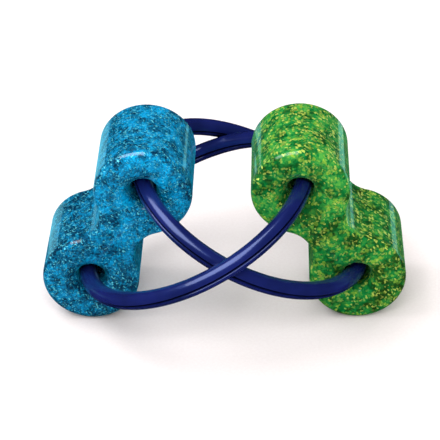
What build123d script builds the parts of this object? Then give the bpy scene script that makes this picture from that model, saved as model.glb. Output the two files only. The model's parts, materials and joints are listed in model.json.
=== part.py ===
from build123d import *
import math
import os

# Baby rattle: two glitter blocks, each shaped like a figure of eight, threaded on two linked rings.
# Frame, in millimetres: +Z up, +X from the blue block to the green one, the front is at -Y,
# and the origin is on the floor under the middle of the rattle.

# --- driving dimensions: the blocks ---
lobe_radius = 19.0          # each of a block's two round ends
hole_spacing = 45.8         # between the two ring holes of a block, which are the centres of its ends
block_depth = 37.6          # front face to back face
waist_radius = 12.4         # the two hollows between the ends
front_edge_round = 2.8      # outer edge of the front face
back_edge_round = 1.8       # and of the back face
mouth_round = 6.0           # wide rounded lip of each ring hole, front and back
bore_swell = 0.8            # each hole's radius halfway through, more than at its two throats
side_wall = 3.2
front_wall = 3.4
rim_width = 2.2             # back face left round the cover
cover_thickness = 2.6
sleeve_wall = 1.6           # tube that lines each ring hole, where the hole is widest
collar_wall = 1.4           # collar on the cover, round the end of each sleeve
collar_height = 3.0
fit_gap = 0.15              # between the cover and what it fits into or over

# --- driving dimensions: how the two blocks stand ---
half_spread = 41.3          # from the middle of the rattle to the middle of each block
lean = 29.3                 # degrees that the tops of the blocks lean towards each other

# --- driving dimensions: the rings ---
tube_radius = 3.5
ring_slack = 2.21           # centre line of a ring past the centres of its two holes
ring_nod = 1.0              # degrees that a ring dips at the front, ring_b at the back
ring_shift = 0.09           # centre of a ring off the middle of its two holes, along X
ring_rise = 0.18            # and upwards
ring_gap = 0.32             # between the two rings where they cross
bore_gap = 0.3              # least room round a ring inside its hole
groove_depth = 0.95         # of the V groove along the joint of a ring's two halves
groove_half_width = 0.6
cut_width = 0.3             # cut across each half, where it was opened for threading
pin_count = 6               # locating pins between the halves of a ring
pin_radius = 0.8
pin_height = 1.4
pin_gap = 0.1

# --- driving dimensions: the loose beads that make the sound ---
bead_play = 0.95            # a bead's diameter is the room beside the collar less this
bead_gap = 0.3              # bead to wall and bead to bead
bead_places = (-0.6, 0.2, -0.2, 0.6)    # where each bead lies, as a share of its travel

# --- sizes worked out from those above ---
rise = hole_spacing / 2 * math.cos(math.radians(lean))      # from a block's middle to its hole centres
run = hole_spacing / 2 * math.sin(math.radians(lean))
block_height = lobe_radius + rise                           # middle of each block above the floor
ring_radius = math.hypot(half_spread, rise) + ring_slack
ring_tilt = math.degrees(math.atan2(rise, half_spread))
ring_centre_x = run + ring_shift
ring_centre_z = block_height + ring_rise
inner_back = -block_depth / 2 + cover_thickness             # inside face of the cover
inner_front = block_depth / 2 - front_wall                  # inside of the front wall
throat = block_depth / 2 - mouth_round                      # each way from halfway to a hole's throats
swell_radius = (throat ** 2 + bore_swell ** 2) / (2 * bore_swell)


def turned(point, tilt, nod=0.0):
    """A point turned by nod about X and then by tilt about Y, both in degrees."""
    x, y, z = point
    a, b = math.radians(nod), math.radians(tilt)
    y, z = y * math.cos(a) - z * math.sin(a), y * math.sin(a) + z * math.cos(a)
    return x * math.cos(b) + z * math.sin(b), y, z * math.cos(b) - x * math.sin(b)


def ring_a_point(along, around, radius, offset):
    """A point of ring_a, radius from its centre line, in the rattle's frame."""
    out = ring_radius + radius * math.cos(around)
    local = (out * math.cos(along), out * math.sin(along), radius * math.sin(around))
    x, y, z = turned(local, ring_tilt, ring_nod)
    return x + ring_centre_x, y + offset, z + ring_centre_z


def least_distance(offset):
    """Between the centre lines of the two rings near their front crossing."""
    crossing = math.acos(ring_centre_x / ring_radius / math.cos(math.radians(ring_tilt)))
    a_at, b_at = crossing - math.pi, math.pi - crossing
    window, steps = math.radians(12), 8
    while window > 1e-5:
        best = None
        for i in range(-steps, steps + 1):
            for j in range(-steps, steps + 1):
                a_try, b_try = a_at + window * i / steps, b_at + window * j / steps
                ax, ay, az = ring_a_point(a_try, 0, 0, offset)
                bx, by, bz = ring_a_point(b_try, 0, 0, offset)
                gap = math.dist((ax, ay, az), (-bx, -by, bz))
                if best is None or gap < best[0]:
                    best = (gap, a_try, b_try)
        distance, a_at, b_at = best
        window /= steps / 2
    return distance


def solved_offset():
    """How far back ring_a stands, and ring_b forward, to pass each other by ring_gap."""
    low, high = 0.0, 4 * tube_radius
    while high - low > 1e-4:
        middle = (low + high) / 2
        if least_distance(middle) < 2 * tube_radius + ring_gap:
            low = middle
        else:
            high = middle
    return high


def hole_widening(along):
    """How much wider than its throats a hole is, at a distance from halfway through."""
    if abs(along) > throat:
        return mouth_round - math.sqrt(mouth_round ** 2 - (abs(along) - throat) ** 2)
    return bore_swell - swell_radius + math.sqrt(swell_radius ** 2 - along ** 2)


def needed_bore(offset):
    """The throat radius that leaves bore_gap round a ring from one mouth to the other."""
    widest = 0.0
    for side, level in ((-1, 1), (1, -1)):
        centre = (side * half_spread, 0, block_height)
        middle = math.pi if side < 0 else 0.0
        for i in range(-140, 141):
            for j in range(36):
                point = ring_a_point(middle + math.radians(i / 4), math.tau * j / 36, tube_radius, offset)
                moved = [p - c for p, c in zip(point, centre)]
                x, y, z = turned(moved, side * lean)
                if abs(y) < block_depth / 2:
                    reach = math.hypot(x, z - level * hole_spacing / 2)
                    widest = max(widest, reach - hole_widening(y))
    return widest + bore_gap


ring_offset = solved_offset()
bore_radius = needed_bore(ring_offset)
sleeve_radius = bore_radius + bore_swell + sleeve_wall
collar_radius = sleeve_radius + fit_gap + collar_wall
cavity_radius = lobe_radius - side_wall
bead_radius = (cavity_radius - collar_radius - bead_play) / 2
lane_radius = cavity_radius - bead_radius - bead_gap
lane_step = 2 * math.degrees(math.asin((bead_radius + bead_gap / 2) / lane_radius))
bead_reach = (inner_front - inner_back) / 2 - bead_radius - bead_gap    # each way from mid-travel
bead_middle = (inner_front + inner_back) / 2

# Where things stand. A block is drawn lying down, with its front face up, and is then stood up.
blue_place = Location((-half_spread, 0, block_height)) * Rot(0, lean, 0) * Rot(90, 0, 0)
green_place = Location((half_spread, 0, block_height)) * Rot(0, -lean, 0) * Rot(90, 0, 0)
ring_a_place = (Location((ring_centre_x, ring_offset, ring_centre_z))
                * Rot(0, ring_tilt, 0) * Rot(ring_nod, 0, 0))
ring_b_place = Rot(0, 0, 180) * ring_a_place


def hole_centres():
    return [(0, level * hole_spacing / 2) for level in (1, -1)]


def outline(inset):
    """The figure of eight, drawn in from the block's outline by inset."""
    end = lobe_radius - inset
    hollow = waist_radius + inset
    reach = lobe_radius + waist_radius
    hollow_x = math.sqrt(reach ** 2 - (hole_spacing / 2) ** 2)
    meet_x = hollow_x * end / reach
    meet_y = hole_spacing / 2 * (1 - end / reach)
    tip = hole_spacing / 2 + end
    waist = hollow_x - hollow
    with BuildSketch() as eight:
        with BuildLine():
            ThreePointArc((meet_x, meet_y), (0, tip), (-meet_x, meet_y))
            ThreePointArc((-meet_x, meet_y), (-waist, 0), (-meet_x, -meet_y))
            ThreePointArc((-meet_x, -meet_y), (0, -tip), (meet_x, -meet_y))
            ThreePointArc((meet_x, -meet_y), (waist, 0), (meet_x, meet_y))
        make_face()
    return eight.sketch


def slab(inset, bottom, top):
    return extrude(Pos(0, 0, bottom) * outline(inset), top - bottom)


def pillars(radius, bottom, top):
    """A round bar at each of a block's two hole centres."""
    bars = [Pos(x, y, (bottom + top) / 2) * Cylinder(radius, top - bottom) for x, y in hole_centres()]
    return bars[0] + bars[1]


def ring_holes():
    """What is cut away for the rings: at each hole centre a bore that swells halfway and flares at both faces."""
    face = block_depth / 2
    mouth_radius = bore_radius + mouth_round
    bow = mouth_round * math.sqrt(0.5)
    with BuildSketch(Plane.XZ) as section:
        with BuildLine():
            Polyline((mouth_radius, -face), (mouth_radius, -face - 1), (0, -face - 1),
                     (0, face + 1), (mouth_radius, face + 1), (mouth_radius, face))
            ThreePointArc((mouth_radius, face), (mouth_radius - bow, throat + bow), (bore_radius, throat))
            ThreePointArc((bore_radius, throat), (bore_radius + bore_swell, 0), (bore_radius, -throat))
            ThreePointArc((bore_radius, -throat), (mouth_radius - bow, -throat - bow), (mouth_radius, -face))
        make_face()
    hole = revolve(section.sketch, Axis.Z)
    holes = [Pos(x, y, 0) * hole for x, y in hole_centres()]
    return holes[0] + holes[1]


def block_body():
    """The moulded shell: front wall, side wall, and a sleeve that lines each ring hole."""
    back, front = -block_depth / 2, block_depth / 2
    shell = slab(0, back, front)
    shell = fillet(shell.faces().sort_by(Axis.Z)[-1].edges(), front_edge_round)
    shell = fillet(shell.faces().sort_by(Axis.Z)[0].edges(), back_edge_round)
    shell -= slab(side_wall, inner_back, inner_front)
    shell -= slab(rim_width, back, inner_back)
    shell += pillars(sleeve_radius, inner_back, inner_front)
    return shell - ring_holes()


def back_cover():
    """The plate that closes a block, with a collar round the end of each sleeve."""
    back = -block_depth / 2
    cover = slab(rim_width + fit_gap, back, inner_back)
    cover += pillars(collar_radius, inner_back, inner_back + collar_height)
    cover -= pillars(sleeve_radius + fit_gap, inner_back, inner_back + collar_height)
    return cover - ring_holes()


def bead(number, down):
    """One loose bead in the lower end; down is the direction of the floor in the block's drawing."""
    angle = math.radians(down + lane_step * (number - (len(bead_places) - 1) / 2))
    x = lane_radius * math.cos(angle)
    y = lane_radius * math.sin(angle) - hole_spacing / 2
    return Pos(x, y, bead_middle + bead_reach * bead_places[number]) * Sphere(bead_radius)


def ring_half(cut_angle):
    """The upper half of a ring's tube, lying flat, with its cut centred at cut_angle."""
    shoulder = math.sqrt(tube_radius ** 2 - groove_half_width ** 2)
    flat = tube_radius - groove_depth
    with BuildSketch(Plane.XZ) as section:
        with BuildLine():
            Polyline((ring_radius - shoulder, groove_half_width), (ring_radius - flat, 0),
                     (ring_radius + flat, 0), (ring_radius + shoulder, groove_half_width))
            ThreePointArc((ring_radius + shoulder, groove_half_width), (ring_radius, tube_radius),
                          (ring_radius - shoulder, groove_half_width))
        make_face()
    cut_turn = math.degrees(cut_width / ring_radius)
    half = revolve(section.sketch, Axis.Z, 360 - cut_turn)
    return Rot(0, 0, cut_angle + cut_turn / 2) * half


def pins(radius, height):
    """Short pins on the centre line, clear of both cuts."""
    bars = []
    for number in range(pin_count):
        angle = math.radians(360 / pin_count * (number + 0.5))
        spot = (ring_radius * math.cos(angle), ring_radius * math.sin(angle), height / 2)
        bars.append(Pos(*spot) * Cylinder(radius, height))
    return bars


def ring_halves(upper_cut, lower_cut):
    upper = ring_half(upper_cut)
    for socket in pins(pin_radius + pin_gap, pin_height + pin_gap):
        upper -= socket
    lower = Rot(180, 0, 0) * ring_half(-lower_cut)
    for pin in pins(pin_radius, pin_height):
        lower += pin
    return upper, lower


def save(name, shape, place):
    placed = place * shape
    solids = placed.solids()
    solid = solids[0] if len(solids) == 1 else Compound(children=solids)
    export_step(solid, f"parts/{name}.step")


os.makedirs("parts", exist_ok=True)

body = block_body()
cover = back_cover()
for colour, place, turn in (("blue", blue_place, lean), ("green", green_place, -lean)):
    save(f"{colour}_body", body, place)
    save(f"{colour}_back_cover", cover, place)
    for number in range(len(bead_places)):
        save(f"{colour}_bead_{number + 1}", bead(number, turn - 90), place)

# A half's cut lies in one hole and the other half's cut in the other hole, out of sight.
upper_half, lower_half = ring_halves(180, 0)
for letter, place in (("a", ring_a_place), ("b", ring_b_place)):
    save(f"ring_{letter}_upper_half", upper_half, place)
    save(f"ring_{letter}_lower_half", lower_half, place)

print(f"ring radius {ring_radius:.3f}, tilt {ring_tilt:.3f}, offset {ring_offset:.3f}")
print(f"ring centre x {ring_centre_x:.3f}, z {ring_centre_z:.3f}")
print(f"bore radius {bore_radius:.3f}, bead radius {bead_radius:.3f}, bead reach {bead_reach:.3f}")
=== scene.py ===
import json
import math

import bpy
from mathutils import Matrix, Vector

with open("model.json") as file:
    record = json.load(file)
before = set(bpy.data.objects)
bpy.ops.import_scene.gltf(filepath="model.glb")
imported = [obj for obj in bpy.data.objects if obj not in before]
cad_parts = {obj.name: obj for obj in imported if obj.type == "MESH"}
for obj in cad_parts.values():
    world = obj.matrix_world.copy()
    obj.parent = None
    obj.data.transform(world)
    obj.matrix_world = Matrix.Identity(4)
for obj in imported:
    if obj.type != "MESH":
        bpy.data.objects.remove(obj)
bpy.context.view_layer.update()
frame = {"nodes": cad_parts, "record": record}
MM = 0.001

# ---------------------------------------------------------------- camera
CAMERA_AIM = Vector((0, 0, 0.033))
CAMERA_DISTANCE = 0.718
CAMERA_AZIMUTH = 2.27           # degrees, 0 looks along +Y
CAMERA_ELEVATION = 34.65
CAMERA_ROLL = -1.6
CAMERA_LENS = 148.0             # millimetres, on the 36 mm sensor
CAMERA_SHIFT = (-0.0095, 0.0087)


def make_camera():
    """The camera, at the viewing angle of a product photograph taken from above the front."""
    a, e = math.radians(CAMERA_AZIMUTH), math.radians(CAMERA_ELEVATION)
    back = Vector((math.sin(a) * math.cos(e), -math.cos(a) * math.cos(e), math.sin(e)))
    camera = bpy.data.objects.new("camera", bpy.data.cameras.new("camera"))
    camera.data.lens = CAMERA_LENS
    camera.data.sensor_width = 36.0
    camera.data.shift_x, camera.data.shift_y = CAMERA_SHIFT
    camera.data.clip_start = 0.05
    camera.data.clip_end = 20.0
    camera.location = CAMERA_AIM + back * CAMERA_DISTANCE
    camera.rotation_mode = "QUATERNION"
    camera.rotation_quaternion = (-back).to_track_quat("-Z", "Y")
    camera.rotation_quaternion.rotate(Matrix.Rotation(math.radians(CAMERA_ROLL), 3, back))
    bpy.context.scene.collection.objects.link(camera)
    bpy.context.scene.camera = camera


# ---------------------------------------------------------------- node helpers
class Graph:
    """A material's node tree, with short ways to add and join its nodes."""

    def __init__(self, name):
        self.material = bpy.data.materials.new(name)
        self.material.use_nodes = True
        self.tree = self.material.node_tree
        self.shader = self.tree.nodes["Principled BSDF"]

    def node(self, kind, **settings):
        made = self.tree.nodes.new(kind)
        for name, value in settings.items():
            setattr(made, name, value)
        return made

    def join(self, source, target):
        self.tree.links.new(source, target)

    def feed(self, socket, value):
        """Links value to the socket if it is an output, and otherwise sets it."""
        if isinstance(value, bpy.types.NodeSocket):
            self.join(value, socket)
        else:
            socket.default_value = value

    def math(self, operation, a, b=0.0):
        made = self.node("ShaderNodeMath", operation=operation)
        self.feed(made.inputs[0], a)
        self.feed(made.inputs[1], b)
        return made.outputs[0]

    def vector(self, operation, a, b=(0, 0, 0)):
        made = self.node("ShaderNodeVectorMath", operation=operation)
        self.feed(made.inputs[0], a)
        self.feed(made.inputs[1], b)
        return made.outputs[0]

    def scaled(self, a, factor):
        made = self.node("ShaderNodeVectorMath", operation="SCALE")
        self.feed(made.inputs[0], a)
        self.feed(made.inputs["Scale"], factor)
        return made.outputs[0]

    def mix(self, share, a, b):
        """Colour a, with a share of colour b over it."""
        made = self.node("ShaderNodeMix", data_type="RGBA")
        self.feed(made.inputs["Factor"], share)
        self.feed(made.inputs["A"], a)
        self.feed(made.inputs["B"], b)
        return made.outputs["Result"]

    def ramp(self, value, *stops):
        """A colour ramp; each stop is (position, colour)."""
        made = self.node("ShaderNodeValToRGB")
        self.feed(made.inputs["Fac"], value)
        elements = made.color_ramp.elements
        while len(elements) < len(stops):
            elements.new(0.5)
        for element, (position, colour) in zip(elements, stops):
            element.position = position
            element.color = colour
        return made.outputs["Color"]

    def smooth(self, value, low, high):
        """0 at low and 1 at high, smooth between and flat beyond; low may be the larger number."""
        made = self.node("ShaderNodeMapRange", interpolation_type="SMOOTHSTEP")
        self.feed(made.inputs["Value"], value)
        made.inputs["From Min"].default_value = low
        made.inputs["From Max"].default_value = high
        return made.outputs["Result"]

    def noise(self, place, scale, detail=2.0, roughness=0.5):
        made = self.node("ShaderNodeTexNoise")
        self.feed(made.inputs["Vector"], place)
        made.inputs["Scale"].default_value = scale
        made.inputs["Detail"].default_value = detail
        made.inputs["Roughness"].default_value = roughness
        return made.outputs

    def cells(self, place, scale):
        """Space cut into random cells, each with a colour of its own."""
        made = self.node("ShaderNodeTexVoronoi")
        self.feed(made.inputs["Vector"], place)
        made.inputs["Scale"].default_value = scale
        return made.outputs

    def xyz(self, vector):
        """The X, Y and Z of a vector."""
        made = self.node("ShaderNodeSeparateXYZ")
        self.join(vector, made.inputs[0])
        return made.outputs

    def set_shader(self, **values):
        """Sets the shader's own sockets; an underscore in a name stands for a space."""
        for name, value in values.items():
            self.shader.inputs[name.replace("_", " ")].default_value = value


def srgb(red, green, blue):
    """A colour given as it looks on screen, 0 to 255, as the linear values that shaders take."""
    def linear(c):
        c /= 255
        return c / 12.92 if c <= 0.04045 else ((c + 0.055) / 1.055) ** 2.4

    return (linear(red), linear(green), linear(blue), 1.0)


# ---------------------------------------------------------------- glitter plastic
MIDDLE_GREY = (0.5, 0.5, 0.5)   # what noise and random colours average
PAINTED_TOP_LIGHT_PER_METRE = 3.0            # painted light: the mass is made lighter towards the top of a block, by this much
CHIP_LAYERS = ((5, 0.8), (6, 0.45))     # seed and share of the flake size: coarse chips, fine chips
DEEP_SIZE = 1.4                 # size of the flakes that lie deep, against the middle ones
TOP_SIZE = 0.8                  # size of the flakes near the surface, against the middle ones
DEEP_SHOW = 0.7                 # how much of a deep flake the plastic over it lets show
LOOSE_SHARE = 0.4               # of the middle flakes' brightness, what is left outside the clumps
MIDDLE_TILT = 0.9               # how far the middle flakes tilt out of the surface
TOP_TILT = 1.3                  # the same for the flakes near the surface
FLAKE_METAL = 0.25              # how metallic a full flake is


def crumpled(g, place, size, shift, detail, bend):
    """Space moved by shift and pushed about by noise, as far as bend, so that cells in it are ragged."""
    moved = g.vector("ADD", place, shift)
    wobble = g.noise(moved, 1 / size, detail)["Color"]
    return g.vector("ADD", moved, g.scaled(g.vector("SUBTRACT", wobble, MIDDLE_GREY), bend))


def chips(g, place, size, seed):
    """Crumpled angular chips, size across: three random numbers for each chip."""
    shift = (seed * 0.31, seed * 0.17, seed * 0.23)
    bent = crumpled(g, place, size, shift, 2.0, size * 1.2)
    return g.cells(bent, 1 / size)["Color"]


def flakes(g, place, size, share, thick, seed):
    """One layer of glitter: slanting plates, size long and thick (a share of size) through, in a share of
    the cells. Gives (mask, brightness of each flake, tilt of each flake)."""
    shift = (seed * 0.29, seed * 0.19, seed * 0.37)
    bent = crumpled(g, place, size / 1.3, shift, 1.0, size * 0.9)
    cell = g.cells(bent, 1 / size)
    channels = g.node("ShaderNodeSeparateColor")
    g.join(cell["Color"], channels.inputs["Color"])
    tilt = g.vector("SUBTRACT", cell["Color"], MIDDLE_GREY)
    across = g.node("ShaderNodeVectorMath", operation="DOT_PRODUCT")
    g.join(g.vector("SUBTRACT", bent, cell["Position"]), across.inputs[0])
    g.join(g.vector("NORMALIZE", tilt), across.inputs[1])
    plate = g.smooth(g.math("ABSOLUTE", across.outputs["Value"]), thick * size, thick * size * 0.5)
    chosen = g.smooth(channels.outputs["Red"], 1 - share - 0.02, 1 - share + 0.02)
    mask = g.math("MULTIPLY", g.math("MULTIPLY", chosen, plate), g.smooth(cell["Distance"], 0.75, 0.6))
    return mask, channels.outputs["Green"], tilt


def glitter_plastic(name, depths, flake_colours, flake_size, thick, shares, clump_size, weights, drop,
                    painted_top_shade, shade, glow):
    """Clear glossy plastic full of glitter.

    depths         ramp of the mass behind the flakes, from its dark hollows to its thick clumps
    flake_colours  dull, warm and bright flakes, and the pale painted glint of the flakes near the surface
    flake_size     metres; thick is a flake's thickness, as a share of that
    shares         how many flakes there are in the deep, middle and top layers
    clump_size     metres, of the clouds that the glitter gathers in
    weights        how much of the mass is clumps, coarse chips and fine chips
    drop           taken from the mass everywhere; painted_top_shade is taken too where the surface faces up, as painted shade on the tops
    shade          how bright the flakes stay, in painted shade, where the surface doesn't face up; where it faces up they get painted light
    glow           colour of the light that gathers in the clear rims
    """
    g = Graph(name)
    place = g.node("ShaderNodeTexCoord").outputs["Object"]
    normal = g.node("ShaderNodeNewGeometry").outputs["Normal"]
    dull, warm, bright, flake_glint = flake_colours

    clump = g.smooth(g.noise(place, 1 / clump_size, 3.0, 0.6)["Fac"], 0.37, 0.63)
    # painted light and shade: flakes are made brighter where the surface faces up and stay in painted shade
    # elsewhere
    up = g.smooth(g.xyz(normal)["Z"], 0.0, 0.9)
    sunlit = g.math("ADD", g.math("MULTIPLY", up, 1 - shade), shade)
    mass = g.math("MULTIPLY", clump, weights[0])
    # painted light: the mass, and so its colour, gets lighter towards the top of the block
    mass = g.math("ADD", mass, g.math("MULTIPLY", g.xyz(place)["Z"], PAINTED_TOP_LIGHT_PER_METRE))
    mass = g.math("SUBTRACT", mass, drop)
    # painted shade: the mass is made darker where the surface faces up
    mass = g.math("SUBTRACT", mass, g.math("MULTIPLY", up, painted_top_shade))
    for (seed, size), weight in zip(CHIP_LAYERS, weights[1:]):
        chip = chips(g, place, flake_size * size, seed)
        mass = g.math("ADD", mass, g.math("MULTIPLY", chip, weight))
    colour = g.ramp(mass, *depths)

    deep_mask, deep_level, _ = flakes(g, place, flake_size * DEEP_SIZE, shares[0], thick * DEEP_SIZE, 1)
    deep_share = g.math("MULTIPLY", deep_mask, g.math("MULTIPLY", deep_level, DEEP_SHOW))
    colour = g.mix(deep_share, colour, dull)

    middle_mask, middle_level, middle_tilt = flakes(g, place, flake_size, shares[1], thick, 2)
    gathered = g.math("ADD", g.math("MULTIPLY", clump, 1 - LOOSE_SHARE), LOOSE_SHARE)
    # painted light: the middle flakes are brighter where the surface faces up
    gathered = g.math("MULTIPLY", gathered, sunlit)
    middle_share = g.math("MULTIPLY", g.math("MULTIPLY", middle_mask, gathered),
                          g.smooth(middle_level, -0.2, 0.8))
    colour = g.mix(middle_share, colour, g.mix(middle_level, warm, bright))

    top_mask, top_level, top_tilt = flakes(g, place, flake_size * TOP_SIZE, shares[2], thick, 3)
    # painted glint: the flakes near the surface take a pale colour standing in for their glint, shown where
    # the surface faces up
    glint_share = g.math("MULTIPLY", g.math("MULTIPLY", top_mask, sunlit), g.smooth(top_level, 0.1, 0.9))
    colour = g.mix(glint_share, colour, flake_glint)

    # each flake catches the light by itself, because it lies at a tilt of its own
    lean = g.vector("ADD", g.scaled(middle_tilt, g.math("MULTIPLY", middle_mask, MIDDLE_TILT)),
                    g.scaled(top_tilt, g.math("MULTIPLY", top_mask, TOP_TILT)))
    tilted = g.vector("NORMALIZE", g.vector("ADD", normal, lean))

    metallic = g.math("MULTIPLY", g.math("MAXIMUM", middle_share, glint_share), FLAKE_METAL)
    g.join(colour, g.shader.inputs["Base Color"])
    g.join(tilted, g.shader.inputs["Normal"])
    g.join(metallic, g.shader.inputs["Metallic"])
    g.set_shader(Roughness=0.3, Specular_IOR_Level=0.1,
                 Coat_Weight=1.0, Coat_Roughness=0.06, Coat_IOR=1.5,
                 Sheen_Weight=0.6, Sheen_Roughness=0.25, Sheen_Tint=glow)
    return g.material


def blue_glitter():
    return glitter_plastic(
        "blue_glitter",
        depths=((0.22, srgb(0, 40, 68)), (0.4, srgb(0, 82, 118)), (0.56, srgb(0, 114, 160)),
                (0.74, srgb(0, 152, 212)), (0.9, srgb(10, 190, 248))),
        # the last flake colour is a painted glint
        flake_colours=(srgb(0, 120, 166), srgb(0, 140, 190), srgb(10, 184, 232), srgb(110, 232, 250)),
        flake_size=1.15 * MM, thick=0.2, shares=(0.7, 0.8, 0.5), clump_size=5 * MM,
        weights=(0.38, 0.32, 0.34), drop=0.21, painted_top_shade=0.07, shade=0.8, glow=srgb(0, 190, 235))


def green_glitter():
    return glitter_plastic(
        "green_glitter",
        depths=((0.2, srgb(26, 62, 12)), (0.4, srgb(0, 88, 34)), (0.56, srgb(4, 114, 48)),
                (0.72, srgb(26, 140, 60)), (0.88, srgb(84, 170, 66))),
        # the last flake colour is a painted glint
        flake_colours=(srgb(50, 140, 54), srgb(96, 172, 56), srgb(176, 220, 70), srgb(232, 252, 112)),
        flake_size=1.5 * MM, thick=0.36, shares=(0.6, 0.55, 0.4), clump_size=7 * MM,
        weights=(0.44, 0.26, 0.3), drop=0.13, painted_top_shade=0.0, shade=0.6, glow=srgb(90, 200, 120))


# ---------------------------------------------------------------- ring and bead plastic
RING_FLOW = 60.0                # flow marks of the moulding, cycles per metre
RING_RIPPLE = 260.0             # unevenness of the surface, cycles per metre
BEAD_SPECKLE = 1800.0           # cycles per metre
PAINTED_SHADE_REACH = 1.6 * MM         # how near another face has to be for painted shade to darken the plastic


def ring_plastic():
    """Glossy dark blue plastic with faint flow marks, with painted shade inside the groove and where the
    rings meet.
    """
    g = Graph("ring_plastic")
    place = g.node("ShaderNodeTexCoord").outputs["Object"]
    flow = g.noise(place, RING_FLOW, 3.0)["Fac"]
    colour = g.mix(g.smooth(flow, 0.3, 0.7), srgb(15, 24, 80), srgb(22, 31, 98))
    shade = g.node("ShaderNodeAmbientOcclusion", samples=8)
    shade.inputs["Distance"].default_value = PAINTED_SHADE_REACH
    clear_of_painted_shade = g.smooth(shade.outputs["AO"], 0.35, 0.95)
    # painted shade: near-black blue where other faces are close
    g.join(g.mix(clear_of_painted_shade, srgb(2, 3, 20), colour), g.shader.inputs["Base Color"])
    ripple = g.noise(place, RING_RIPPLE, 3.0)["Fac"]
    bump = g.node("ShaderNodeBump")
    bump.inputs["Strength"].default_value = 0.12
    bump.inputs["Distance"].default_value = 0.2 * MM
    g.join(ripple, bump.inputs["Height"])
    g.join(bump.outputs["Normal"], g.shader.inputs["Normal"])
    g.join(bump.outputs["Normal"], g.shader.inputs["Coat Normal"])
    g.set_shader(Roughness=0.24, Specular_IOR_Level=1.0, Specular_Tint=(0.24, 0.36, 0.84, 1.0),
                 Coat_Weight=0.4, Coat_Roughness=0.04)
    return g.material


def bead_plastic():
    """Smooth white plastic with a faint speckle."""
    g = Graph("bead_plastic")
    place = g.node("ShaderNodeTexCoord").outputs["Object"]
    speckle = g.noise(place, BEAD_SPECKLE, 2.0)["Fac"]
    colour = g.mix(g.smooth(speckle, 0.4, 0.7), srgb(236, 236, 230), srgb(214, 214, 208))
    g.join(colour, g.shader.inputs["Base Color"])
    g.set_shader(Roughness=0.25)
    return g.material


def dress_nodes():
    """Gives every CAD node its material."""
    finishes = {"blue_glitter": blue_glitter(), "green_glitter": green_glitter(),
                "ring": ring_plastic(), "bead": bead_plastic()}
    for part in frame["record"]["subparts"]:
        node = frame["nodes"][part["node"]]
        finish = finishes[part["material_slot"]]
        if node.material_slots:
            for slot in node.material_slots:
                slot.material = finish
        else:
            node.data.materials.append(finish)


# ---------------------------------------------------------------- floor and light
FLOOR_HALF = 4.0                # metres from the middle of the floor to its sides
FLOOR_GRAIN = 900.0             # cycles per metre


def floor_material():
    """Matt off-white, with a fine grain."""
    g = Graph("floor")
    place = g.node("ShaderNodeTexCoord").outputs["Object"]
    grain = g.noise(place, FLOOR_GRAIN, 3.0)["Fac"]
    colour = g.mix(g.smooth(grain, 0.3, 0.7), (0.92, 0.85, 0.84, 1), (0.95, 0.885, 0.875, 1))
    g.join(colour, g.shader.inputs["Base Color"])
    g.set_shader(Roughness=0.75, Specular_IOR_Level=0.2)
    return g.material


def make_floor():
    """A plain floor for the picture, which isn't part of the rattle."""
    h = FLOOR_HALF
    mesh = bpy.data.meshes.new("floor")
    mesh.from_pydata([(-h, -h, 0), (h, -h, 0), (h, h, 0), (-h, h, 0)], [], [(0, 1, 2, 3)])
    mesh.materials.append(floor_material())
    floor = bpy.data.objects.new("floor", mesh)
    floor.visible_glossy = False
    bpy.context.scene.collection.objects.link(floor)


def softbox(name, place, aim, width, height, radiance, colour=(1, 1, 1), lighting=True, reflected=True):
    """A rectangular area light that faces aim. It lights what is matt, shows in reflections, or both."""
    light = bpy.data.lights.new(name, "AREA")
    light.shape = "RECTANGLE"
    light.size, light.size_y = width, height
    light.energy = radiance * math.pi * width * height
    light.color = colour
    lamp = bpy.data.objects.new(name, light)
    lamp.location = place
    lamp.rotation_mode = "QUATERNION"
    lamp.rotation_quaternion = (Vector(aim) - Vector(place)).to_track_quat("-Z", "Y")
    lamp.visible_camera = False
    lamp.visible_diffuse = lighting
    lamp.visible_glossy = reflected
    bpy.context.scene.collection.objects.link(lamp)


def make_light():
    """White surroundings that light everything evenly but aren't reflected, and softboxes that are."""
    bpy.context.scene.view_settings.view_transform = "Standard"
    world = bpy.data.worlds.new("studio")
    bpy.context.scene.world = world
    world.use_nodes = True
    background = world.node_tree.nodes["Background"]
    background.inputs["Color"].default_value = (1, 1, 1, 1)
    background.inputs["Strength"].default_value = 1.02
    world.cycles_visibility.glossy = False
    softbox("key", (-0.36, 0.0, 0.62), (0, 0, 0.04), 0.4, 0.4, 4.2, reflected=False)
    softbox("front_fill", (0, -0.22, 0.26), (0, 0, 0.03), 0.14, 0.08, 7.5, reflected=False)
    softbox("overhead", (-0.3, -0.16, 0.66), (-0.3, -0.16, 0), 0.6, 0.6, 5.0, lighting=False)
    softbox("left_card", (-0.4, 0.22, 0.001), (-0.4, 0.22, 1), 0.7, 0.36, 0.7,
            colour=(0.3, 0.85, 1), lighting=False)
    softbox("right_card", (0.4, 0.22, 0.001), (0.4, 0.22, 1), 0.54, 0.36, 0.9,
            colour=(0.35, 1, 0.9), lighting=False)


make_camera()
make_floor()
make_light()
dress_nodes()
